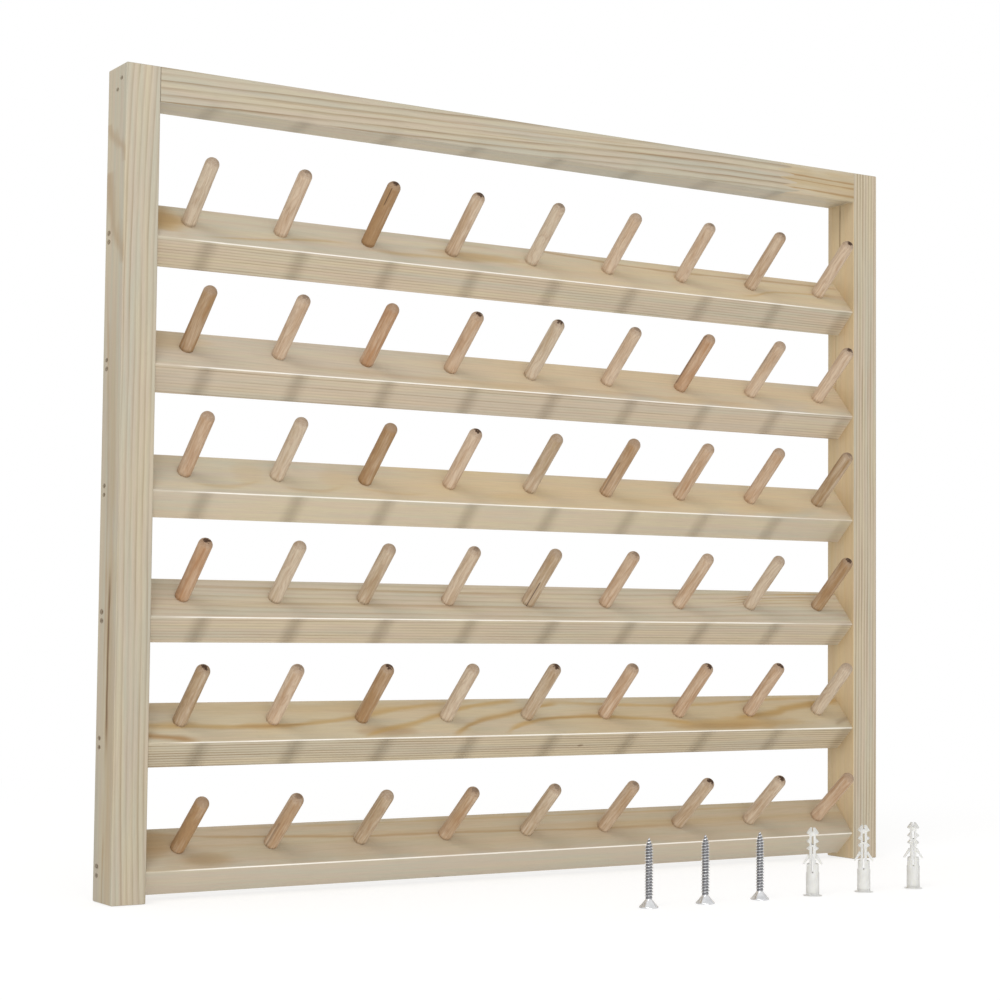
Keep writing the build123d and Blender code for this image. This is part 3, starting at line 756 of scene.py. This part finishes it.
def make_piece(name, points, quads, triangles, material):
    """A smooth mesh object at the origin from arrays of points, quads and triangles."""
    mesh = bpy.data.meshes.new(name)
    corners = np.concatenate([quads.ravel(), triangles.ravel()]).astype(np.int32)
    sizes = np.concatenate([np.full(len(quads), 4), np.full(len(triangles), 3)]).astype(np.int32)
    mesh.vertices.add(len(points))
    mesh.vertices.foreach_set("co", points.astype(np.float32).ravel())
    mesh.loops.add(len(corners))
    mesh.loops.foreach_set("vertex_index", corners)
    mesh.polygons.add(len(sizes))
    mesh.polygons.foreach_set("loop_start", np.concatenate([[0], np.cumsum(sizes)[:-1]]).astype(np.int32))
    mesh.polygons.foreach_set("use_smooth", np.ones(len(sizes), bool))
    mesh.update(calc_edges=True)
    if mesh.validate(verbose=False):
        raise RuntimeError(f"{name} has faulty faces")
    mesh.materials.append(material)
    piece = bpy.data.objects.new(name, mesh)
    bpy.context.scene.collection.objects.link(piece)
    return piece


def add_attribute(piece, name, kind, values):
    """Stores one value per point on a piece, for its material to read."""
    key = "vector" if kind == "FLOAT_VECTOR" else "value"
    attribute = piece.data.attributes.new(name, kind, "POINT")
    attribute.data.foreach_set(key, np.asarray(values, np.float32).ravel())


def join_surfaces(surfaces):
    """Several closed surfaces as one set of points, quads and triangles."""
    points, quads, triangles, start = [], [], [], 0
    for some_points, some_quads, some_triangles in surfaces:
        points.append(some_points)
        quads.append(some_quads + start)
        triangles.append(some_triangles + start)
        start += len(some_points)
    return np.concatenate(points), np.concatenate(quads), np.concatenate(triangles)


# Pegs by tone and hue, as row and place counted from the top left. The rest draw theirs at random.
PEG_GROUPS = (
    ((1.15, 0.40), ((1, 3),)),
    ((0.96, 0.35), ((3, 3), (6, 1))),
    ((0.80, 0.35), ((2, 1), (4, 9), (5, 3))),
    ((0.62, 0.10), ((3, 9), (5, 1))),
    ((0.68, 0.95), ((2, 3), (2, 7), (4, 1))),
    ((0.60, 0.45), ((3, 6), (6, 2), (6, 4))),
    ((0.36, 0.75), ((2, 4), (3, 1), (3, 7), (3, 8), (5, 6), (5, 7), (5, 8), (6, 9))),
    ((0.34, 0.05), ((3, 5), (4, 3), (4, 5), (5, 5), (6, 3), (6, 5))),
    ((0.30, 0.45), ((1, 4), (1, 8))),
    ((0.14, 0.65), ((2, 9), (3, 4), (5, 2))),
    ((0.10, 0.10), ((3, 2), (4, 8), (5, 4))),
    ((0.05, 0.60), ((1, 2), (1, 6), (1, 7), (1, 9), (2, 6), (2, 8))),
    ((0.0, 0.0), ((1, 1), (1, 5), (2, 5), (4, 2), (5, 9))),
)
PEG_LOOKS = {peg: look for look, group in PEG_GROUPS for peg in group}
SCORCHED = ((1, 3), (1, 4), (1, 9), (2, 4), (2, 5), (2, 9), (3, 4), (4, 1), (5, 1), (5, 3), (5, 5), (5, 7),
            (5, 8), (6, 7), (6, 8), (4, 9))
# Dark lines on single pegs: mesh steps to the right of the middle as seen, steps wide, start and end as
# shares of the height, and how dark
PEG_MARKS = {(4, 5): (1, 1, 0.0, 0.48, 0.95), (1, 3): (-2, 1, 0.68, 0.95, 0.9),
             (3, 6): (-4, 2, 0.05, 0.60, 0.38), (6, 2): (-3, 2, 0.0, 0.50, 0.36),
             (2, 7): (-9, 3, 0.05, 0.98, 0.5), (2, 8): (-8, 2, 0.45, 0.90, 0.4)}
PEG_WORDS = ("number", "tone", "hue", "scorch", "mark")
# How far the wood of one peg lies from the last one's, and how far its pith lies off its axis
PEG_SHIFT = (17.3, 5.1, 41.7)
PEG_PITH = 12.0


def peg_profile():
    """Heights and radii of a peg from its chamfered foot over the shoulder to the rounded tip.

    The dome is a quarter circle of dome_share times the radius, set on the small flat that is left.
    Between shoulder and dome the radius shrinks evenly by the taper.
    """
    pegs = bpy.context.scene.rack_pegs
    foot = PEG_RADIUS - pegs.squeeze
    chamfer, ease = 0.5 * MM, 0.12 * MM
    dome = PEG_RADIUS * pegs.dome_share
    stand = pegs.shoulder + PEG_WALL + dome
    heights = [-pegs.seat, -pegs.seat + chamfer, -pegs.seat + chamfer + 0.1 * MM, 0.0,
               pegs.shoulder - 0.02 * MM, pegs.shoulder, pegs.shoulder + ease]
    radii = [foot - chamfer, foot, foot, foot, foot, PEG_RADIUS - ease, PEG_RADIUS]
    body = np.linspace(pegs.shoulder + ease, stand - dome, 26)[1:]
    angles = np.linspace(0, math.pi / 2, 13)[1:]
    heights = np.concatenate([heights, body, stand - dome + dome * np.sin(angles)])
    slim = pegs.taper * (body - body[0]) / (body[-1] - body[0])
    radii = np.concatenate([radii, PEG_RADIUS - slim,
                            PEG_RADIUS - pegs.taper - dome + dome * np.cos(angles)])
    return heights, radii


def peg_surface(row, place, random, heights, radii):
    """One turned peg as a closed surface, with its own wood coordinates and its dark line, if any.

    Each ring is a circle of the profile's radius about the peg's axis. A ripple of a few hundredths of
    a millimetre, summed from three sines around and along the peg, keeps it from being perfect.
    """
    axis = Vector(mount(f"peg_{row}_{place}")["axis"]).normalized()
    side = Vector((1, 0, 0))
    front = axis.cross(side)
    base = peg_foot(row, place)
    turn = np.linspace(0, 2 * math.pi, PEG_SEGMENTS, endpoint=False)
    phases = random.uniform(0, 2 * math.pi, 4)
    wide, high = np.meshgrid(turn, heights)
    above = np.clip(high / (2 * MM), 0, 1) * bpy.context.scene.rack_pegs.ripple
    ripple = above * (np.sin(2 * wide + phases[0] + high * 60) + np.sin(3 * wide + phases[1])
                      + np.sin(high * 420 + phases[2]))
    wide_radius = radii[:, None] + ripple * (radii[:, None] > 0.5 * PEG_RADIUS)
    across_x = wide_radius * np.cos(wide)
    across_y = wide_radius * np.sin(wide)
    rings = (np.array(base) + across_x[..., None] * np.array(side) + across_y[..., None] * np.array(front)
             + high[..., None] * np.array(axis))
    points, quads, triangles = closed_surface(rings)
    local = np.stack([across_x, across_y, high], axis=-1).reshape(-1, 3) / MM
    local = np.concatenate([local, [[0, 0, heights[0] / MM], [0, 0, heights[-1] / MM]]])
    spin = phases[3]
    cos, sin = math.cos(spin), math.sin(spin)
    turned = np.stack([local[:, 0] * cos - local[:, 1] * sin, local[:, 0] * sin + local[:, 1] * cos,
                       local[:, 2]], axis=1)
    mark = np.zeros(wide.shape)
    if (row, place) in PEG_MARKS:
        shift, breadth, low, top, force = PEG_MARKS[row, place]
        seen = Vector(bpy.context.scene.rack_stage.eye) - base
        middle = round(math.atan2(seen.dot(front), seen.dot(side)) / (2 * math.pi) * PEG_SEGMENTS)
        share = heights / heights[-1]
        columns = (middle + shift + np.arange(breadth)) % PEG_SEGMENTS
        mark[np.ix_((share >= low) & (share <= top), columns)] = force
    return (points, quads, triangles), turned, np.append(mark.ravel(), [0, 0])


def peg_wood():
    """Turned hardwood: tan wood with tight rings, short vessel lines and a burnished, scorched tip.

    Reads the peg's own wood coordinates in millimetres, its number, tone, hue, scorch and dark line.
    Rings are distances from a pith 12 mm off the peg's axis, and vessel lines are a noise stretched
    twenty times along it. One side of a peg may be darker than the other, from a noise that hardly
    changes along it.
    """
    look = bpy.context.scene.rack_pegs
    recipe = Recipe(bpy.data.materials.new("peg_hardwood"))
    place = recipe.node("Attribute", attribute_name="wood_place").outputs["Vector"]
    number, tone, hue, scorch, mark = (
        recipe.node("Attribute", attribute_name=f"peg_{word}").outputs["Fac"] for word in PEG_WORDS)
    side, front, height = recipe.node("SeparateXYZ", {0: place}).outputs
    jump = recipe.vector("MULTIPLY", number, PEG_SHIFT)[0]
    own = recipe.vector("ADD", place, jump)[0]
    wave = recipe.noise(own, (0.16, 0.16, 0.045))
    off = recipe.plus(side, PEG_PITH)
    ring = recipe.math("POWER", recipe.times_plus(off, off, recipe.times(front, front)), 0.5)
    ring = recipe.times_plus(wave, 5.0, recipe.times(ring, 0.62))
    late = recipe.ramp(recipe.math("FRACT", ring), RING_STOPS)
    vessel = recipe.noise(own, (3.2, 3.2, 0.16), roughness=0.6)
    dashes = recipe.smooth(vessel, 0.56, 0.68)
    streak = recipe.noise(own, (1.1, 1.1, 0.035), roughness=0.6)
    fibre = recipe.noise(own, (6.0, 6.0, 0.30), 3.0, 0.6)
    cloud = recipe.noise(own, (0.30, 0.30, 0.05))
    share = recipe.plus(tone, recipe.smooth(cloud, 0.25, 0.75, -0.28, 0.30))
    share = recipe.plus(share, recipe.smooth(streak, 0.3, 0.7, -0.16, 0.20), clamp=True)
    pale = recipe.blend(hue, look.pale, look.rosy)
    colour = recipe.blend(share, pale, recipe.blend(hue, look.olive, look.amber))
    colour = recipe.blend(recipe.times(late, 0.26), colour, look.streak)
    colour = recipe.blend(recipe.times(dashes, 0.30), colour, look.streak)

    # End grain on the dome, with a scorched speck near the middle of some tips, and the dark lines
    top = (look.shoulder + PEG_WALL) / MM
    dome = recipe.smooth(height, top + 0.2, top + 2.2)
    pores = recipe.noise(own, (2.6, 2.6, 1.2), 3.0, 0.7)
    colour = recipe.blend(recipe.times(dome, 0.42), colour, look.end_grain)
    colour = recipe.blend(recipe.times(dome, recipe.smooth(pores, 0.40, 0.66, 0.08, 0.50)), colour,
                          look.streak)
    ragged = recipe.noise(own, (0.9, 0.9, 0.6), 3.0, 0.7, (3, 3, 3))
    edge = recipe.times_plus(ragged, 2.6, recipe.minus(height, top + 3.45))
    burnt = recipe.times(recipe.smooth(edge, 0.35, 0.75), scorch)
    colour = recipe.blend(recipe.math("MAXIMUM", burnt, mark), colour, look.scorch)
    level = recipe.times(recipe.smooth(fibre, 0.25, 0.75, 0.91, 1.08),
                         recipe.smooth(height, 0.3, 0.9, 1.10, 1.0))
    relief = recipe.times_plus(recipe.times(dome, pores), 2.0, recipe.times_plus(dashes, -0.7, fibre))
    rough = recipe.smooth(fibre, 0.2, 0.8, 0.48, 0.62)
    return recipe.shade(Base_Color=recipe.scaled(colour, level), Roughness=rough,
                        Specular_IOR_Level=0.10, Normal=recipe.bump(relief, 0.00012, 0.5))


class RACK_OT_pegs(bpy.types.Operator):
    """Turn the nine pegs of each shelf as smooth surfaces with their own wood"""

    bl_idname = "rack.pegs"
    bl_label = "Spool pegs"

    def execute(self, context):
        random = np.random.default_rng(SEED)
        material = peg_wood()
        heights, radii = peg_profile()
        for row in range(1, SHELF_COUNT + 1):
            surfaces, places, values = [], [], []
            for place in range(1, PEGS_PER_SHELF + 1):
                surface, local, mark = peg_surface(row, place, random, heights, radii)
                surfaces.append(surface)
                places.append(local)
                usual = (float(random.uniform(0.10, 0.36)), float(random.uniform(0.2, 0.75)))
                tone, hue = PEG_LOOKS.get((row, place), usual)
                burn = 1.0 if (row, place) in SCORCHED else float(random.choice((0.0, 0.0, 0.45)))
                same = np.tile((row * 10.0 + place, tone, hue, burn), (len(local), 1))
                values.append(np.column_stack([same, mark]))
            piece = make_piece(f"spool_pegs_row_{row}", *join_surfaces(surfaces), material)
            add_attribute(piece, "wood_place", "FLOAT_VECTOR", np.concatenate(places))
            for word, column in zip(PEG_WORDS, np.concatenate(values).T):
                add_attribute(piece, f"peg_{word}", "FLOAT", column)
            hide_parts(f"pegs_row_{row}")
            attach(piece, "root")
        return {"FINISHED"}


def wire_steel():
    """Drawn wire, dull, and painted almost black as the shade of its hole."""
    look = bpy.context.scene.rack_fixings
    recipe = Recipe(bpy.data.materials.new("brad_wire"))
    place = recipe.node("TexCoord").outputs["Object"]
    lines = recipe.noise(place, (900, 4000, 4000))
    colour = recipe.blend(recipe.smooth(lines, 0.3, 0.7), look.wire, look.scratch)
    rough = recipe.smooth(lines, 0.3, 0.7, 0.45, 0.65)
    return recipe.shade(Base_Color=colour, Metallic=0.6, Roughness=rough)


class RACK_OT_brads(bpy.types.Operator):
    """Finish the brads that hold the boards"""

    bl_idname = "rack.brads"
    bl_label = "Brads"

    def execute(self, context):
        material = wire_steel()
        for node in frame["nodes"]:
            if node.startswith("brads_"):
                dress(node, material)
        return {"FINISHED"}


def plated_steel():
    """Bright plated steel with faint drawing lines, a duller film in places and painted shade in the thread
    roots.
    """
    look = bpy.context.scene.rack_fixings
    recipe = Recipe(bpy.data.materials.new("plated_steel"))
    place = recipe.node("TexCoord").outputs["Object"]
    film = recipe.noise(place, (260, 260, 260), 3.0)
    colour = recipe.blend(recipe.smooth(film, 0.3, 0.7), look.plating, look.film)
    # Painted shade: the colour darkens from the crests into the thread's roots
    crest = recipe.node("Attribute", attribute_name="screw_crest").outputs["Fac"]
    colour = recipe.blend(recipe.smooth(crest, 0.0, 0.6), look.roots, colour)
    rough = recipe.smooth(film, 0.3, 0.7, 0.18, 0.27)
    lines = recipe.noise(place, (1500, 1500, 9000))
    return recipe.shade(Base_Color=colour, Metallic=1.0, Roughness=rough,
                        Normal=recipe.bump(lines, 0.00002, 0.25))


def screw_surface(middle):
    """One countersunk wood screw, standing on its head, as a closed surface.

    From the middle of the head's flat out to the rim, the surface is a disc pushed up by a cross-shaped
    recess. It then climbs the rim and the cone. On the shank the radius is the core's plus a ridge: a
    triangle wave of height over pitch minus angle over a full turn, so the crest is a right-handed helix.
    Core and crest both shrink towards the point. The second result is how near each point is to a crest,
    for the painted shade in the thread's roots.
    """
    look = bpy.context.scene.rack_fixings
    turn = np.linspace(0, 2 * math.pi, SCREW_SEGMENTS, endpoint=False)
    discs = np.linspace(0.02, 1.0, 30)[:, None] * look.head_radius * np.ones(SCREW_SEGMENTS)
    flat_x, flat_y = discs * np.cos(turn), discs * np.sin(turn)
    reach, width, soft = look.recess_reach, look.recess_width, look.recess_wall

    def bar(length, breadth):
        """1 inside a rectangle about the middle, easing to 0 over a soft wall."""
        inner = np.clip((length / 2 + soft / 2 - np.abs(flat_x)) / soft, 0, 1)
        return inner * np.clip((breadth / 2 + soft / 2 - np.abs(flat_y)) / soft, 0, 1)

    recess = np.maximum(bar(2 * reach, width), bar(width, 2 * reach))
    slope = np.clip(1.15 - discs / reach * 0.55, 0, 1)
    flat = np.stack([flat_x, flat_y, look.recess_depth * recess * slope], axis=-1)

    rim, rim_height = look.head_radius, look.rim_height
    share = np.linspace(0.05, 1.0, 10)
    radii = np.concatenate([[rim, rim, rim - 0.02 * MM], rim + (look.core_radius - rim) * share ** 0.92])
    heights = np.concatenate([[0.03 * MM, rim_height / 2, rim_height],
                              rim_height + (look.head_height - rim_height) * share])
    cone = np.stack([np.outer(radii, np.cos(turn)), np.outer(radii, np.sin(turn)),
                     np.outer(heights, np.ones(SCREW_SEGMENTS))], axis=-1)

    shank = np.arange(look.head_height + 0.1 * MM, look.screw_length, look.pitch / STEPS_PER_TURN)
    shank = np.append(shank, look.screw_length)[:, None] * np.ones(SCREW_SEGMENTS)
    to_point = np.clip((look.screw_length - shank) / look.point_length, 0, 1)
    core = look.tip_radius + (look.core_radius - look.tip_radius) * to_point ** 0.75
    phase = (shank / look.pitch - turn / (2 * math.pi)) % 1.0
    wave = np.clip(1.0 - np.abs(phase - 0.5) / 0.30, 0, 1)
    start = np.clip((shank - look.head_height) / (1.2 * look.pitch), 0, 1)
    ridge = (look.crest_radius - look.core_radius) * wave * start * np.clip(to_point * 1.6, 0, 1)
    radius = core + ridge
    thread = np.stack([radius * np.cos(turn), radius * np.sin(turn), shank], axis=-1)
    plain = np.full((len(flat) + len(cone)) * SCREW_SEGMENTS, PLAIN_CREST)
    crest = np.concatenate([plain, (wave * start).ravel(), [PLAIN_CREST, PLAIN_CREST]])
    return closed_surface(np.concatenate([flat, cone, thread]) + np.array(middle)), crest


class RACK_OT_screws(bpy.types.Operator):
    """Cut the wall screws with one helical thread each"""

    bl_idname = "rack.screws"
    bl_label = "Wall screws"

    def execute(self, context):
        material = plated_steel()
        for place in range(1, FIXING_COUNT + 1):
            low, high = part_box(f"wall_screw_{place}")
            middle = ((low.x + high.x) / 2, (low.y + high.y) / 2, low.z)
            surface, crest = screw_surface(middle)
            piece = make_piece(f"threaded_screw_{place}", *surface, material)
            add_attribute(piece, "screw_crest", "FLOAT", crest)
            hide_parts(f"wall_screw_{place}")
            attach(piece, "root")
        return {"FINISHED"}


def moulded_nylon():
    """Translucent natural nylon with faint moulding haze."""
    look = bpy.context.scene.rack_fixings
    recipe = Recipe(bpy.data.materials.new("moulded_nylon"))
    place = recipe.node("TexCoord").outputs["Object"]
    haze = recipe.noise(place, (320, 320, 320))
    colour = recipe.blend(recipe.smooth(haze, 0.3, 0.7), look.nylon, look.haze)
    rough = recipe.smooth(haze, 0.3, 0.7, 0.30, 0.42)
    skin = recipe.noise(place, (1400, 1400, 1400))
    return recipe.shade(Base_Color=colour, Roughness=rough, Subsurface_Weight=0.35,
                        Subsurface_Radius=(0.004, 0.004, 0.0035), Subsurface_Scale=0.35,
                        Transmission_Weight=0.12, IOR=1.5, Normal=recipe.bump(skin, 0.00003, 0.2))


class RACK_OT_plugs(bpy.types.Operator):
    """Finish the nylon wall plugs"""

    bl_idname = "rack.plugs"
    bl_label = "Wall plugs"

    def execute(self, context):
        material = moulded_nylon()
        for place in range(1, FIXING_COUNT + 1):
            dress(f"wall_plug_{place}", material)
        return {"FINISHED"}


def seen_directly(recipe):
    """1 for rays from the camera and for those that metal and clear plastic send, otherwise 0."""
    path = recipe.node("LightPath").outputs
    return recipe.plus(path["Is Camera Ray"], path["Is Glossy Ray"], path["Is Transmission Ray"], clamp=True)


def white_room(sky):
    """An even grey light on the object, before a white background."""
    recipe = Recipe(bpy.data.worlds.new("white_room"), "OutputWorld")
    even = recipe.node("Background", {"Color": (1.0, 0.99, 0.97), "Strength": sky})
    white = recipe.node("Background", {"Color": WHITE, "Strength": 1.0})
    shaders = {0: seen_directly(recipe), 1: even.outputs[0], 2: white.outputs[0]}
    bpy.context.scene.world = recipe.finish(recipe.node("MixShader", shaders))


def floor_paper(shade):
    """White paper: plain for the light it throws back, topped up to white where it is looked at.

    The seen part of the floor darkens only where the object shades it, and turns into even white
    with distance from the object.
    """
    recipe = Recipe(bpy.data.materials.new("floor_paper"))
    plain = recipe.node("BsdfDiffuse", {"Color": (0.80, 0.80, 0.79)})
    looked_at = recipe.node("BsdfDiffuse", {"Color": (shade, shade, shade)})
    glow = recipe.node("Emission", {"Color": WHITE, "Strength": 1.04 - 0.85 * shade})
    white = recipe.node("Emission", {"Color": WHITE, "Strength": 1.0})
    place = recipe.node("TexCoord").outputs["Object"]
    far = recipe.smooth(recipe.vector("LENGTH", place)["Value"], 0.30, 0.75)
    lit = recipe.node("AddShader", {0: looked_at.outputs[0], 1: glow.outputs[0]})
    seen = recipe.node("MixShader", {0: far, 1: lit.outputs[0], 2: white.outputs[0]})
    shaders = {0: seen_directly(recipe), 1: plain.outputs[0], 2: seen.outputs[0]}
    return recipe.finish(recipe.node("MixShader", shaders))


def camera_turn(yaw, pitch, roll):
    """The camera's rotation: yaw about the upright axis, then pitch, then roll."""
    forward = Vector((math.sin(yaw) * math.cos(pitch), math.cos(yaw) * math.cos(pitch), math.sin(pitch)))
    level = Vector((math.cos(yaw), -math.sin(yaw), 0))
    down = forward.cross(level)
    right = math.cos(roll) * level + math.sin(roll) * down
    down = math.cos(roll) * down - math.sin(roll) * level
    return Matrix((right, -down, -forward)).transposed()


def soft_lamp(name, place, target, width, height, power):
    """A rectangular lamp that looks at a target."""
    lamp = bpy.data.lights.new(name, "AREA")
    lamp.shape = "RECTANGLE"
    lamp.size, lamp.size_y = width, height
    lamp.energy = power
    lit = bpy.data.objects.new(name, lamp)
    lit.location = place
    lit.rotation_mode = "QUATERNION"
    lit.rotation_quaternion = (Vector(target) - Vector(place)).to_track_quat("-Z", "Y")
    bpy.context.scene.collection.objects.link(lit)
    return lit


class RACK_OT_stage(bpy.types.Operator):
    """Set the camera, the white floor and the soft studio light"""

    bl_idname = "rack.stage"
    bl_label = "Stage"

    def execute(self, context):
        look = context.scene.rack_stage
        camera = bpy.data.cameras.new("camera")
        camera.lens = look.lens
        camera.sensor_width = 36.0
        camera.clip_start, camera.clip_end = 0.05, 50.0
        eye = bpy.data.objects.new("camera", camera)
        turn = camera_turn(look.yaw, look.pitch, look.roll)
        eye.matrix_world = Matrix.Translation(Vector(look.eye)) @ turn.to_4x4()
        context.scene.collection.objects.link(eye)
        context.scene.camera = eye

        white_room(look.sky)
        reach, drop = 4.0, 0.2 * MM
        mesh = bpy.data.meshes.new("floor")
        corners = ((-reach, -reach), (reach, -reach), (reach, reach), (-reach, reach))
        mesh.from_pydata([(x, y, -drop) for x, y in corners], [], [(0, 1, 2, 3)])
        mesh.materials.append(floor_paper(look.floor_shade))
        floor = bpy.data.objects.new("floor", mesh)
        context.scene.collection.objects.link(floor)

        middle = (0.0, 0.05, 0.19)
        soft_lamp("upper_lamp", (-1.43, -1.12, 2.01), middle, 1.1, 1.1, look.upper)
        soft_lamp("front_lamp", (-0.6, -2.15, 0.30), middle, 1.4, 0.6, look.front)
        lower = soft_lamp("lower_lamp", (-0.575, -0.90, -1.20), middle, 0.30, 0.30, look.lower)
        passes = bpy.data.collections.new("passed_by_lower_lamp")
        passes.objects.link(floor)
        passes.collection_objects[0].light_linking.link_state = "EXCLUDE"
        lower.light_linking.blocker_collection = passes
        context.scene.view_settings.view_transform = "Standard"
        return {"FINISHED"}


class RACK_PT_panel(bpy.types.Panel):
    """Sidebar panel that lists the rack's operators and finishes"""

    bl_label = "Thread Rack"
    bl_idname = "RACK_PT_panel"
    bl_space_type = "VIEW_3D"
    bl_region_type = "UI"
    bl_category = "Thread Rack"

    def draw(self, context):
        for step in STEPS:
            self.layout.operator(step.bl_idname)
        for name, group in GROUPS.items():
            box = self.layout.box()
            box.label(text=group.__doc__)
            for key in group.__annotations__:
                box.prop(getattr(context.scene, name), key)


STEPS = (RACK_OT_stage, RACK_OT_boards, RACK_OT_pegs, RACK_OT_brads, RACK_OT_screws, RACK_OT_plugs)
GROUPS = {"rack_pegs": RackPegs, "rack_pine": RackPine, "rack_fixings": RackFixings,
          "rack_stage": RackStage}


def register():
    """Registers the properties, the operators and the panel."""
    for name, group in GROUPS.items():
        bpy.utils.register_class(group)
        setattr(bpy.types.Scene, name, bpy.props.PointerProperty(type=group))
    for step in (*STEPS, RACK_PT_panel):
        bpy.utils.register_class(step)


def unregister():
    """Takes everything that register added away again."""
    for step in reversed((*STEPS, RACK_PT_panel)):
        bpy.utils.unregister_class(step)
    for name, group in GROUPS.items():
        delattr(bpy.types.Scene, name)
        bpy.utils.unregister_class(group)


def main():
    """Builds the whole scene."""
    register()
    for step in STEPS:
        family, action = step.bl_idname.split(".")
        getattr(getattr(bpy.ops, family), action)()


if __name__ == "__main__":
    main()
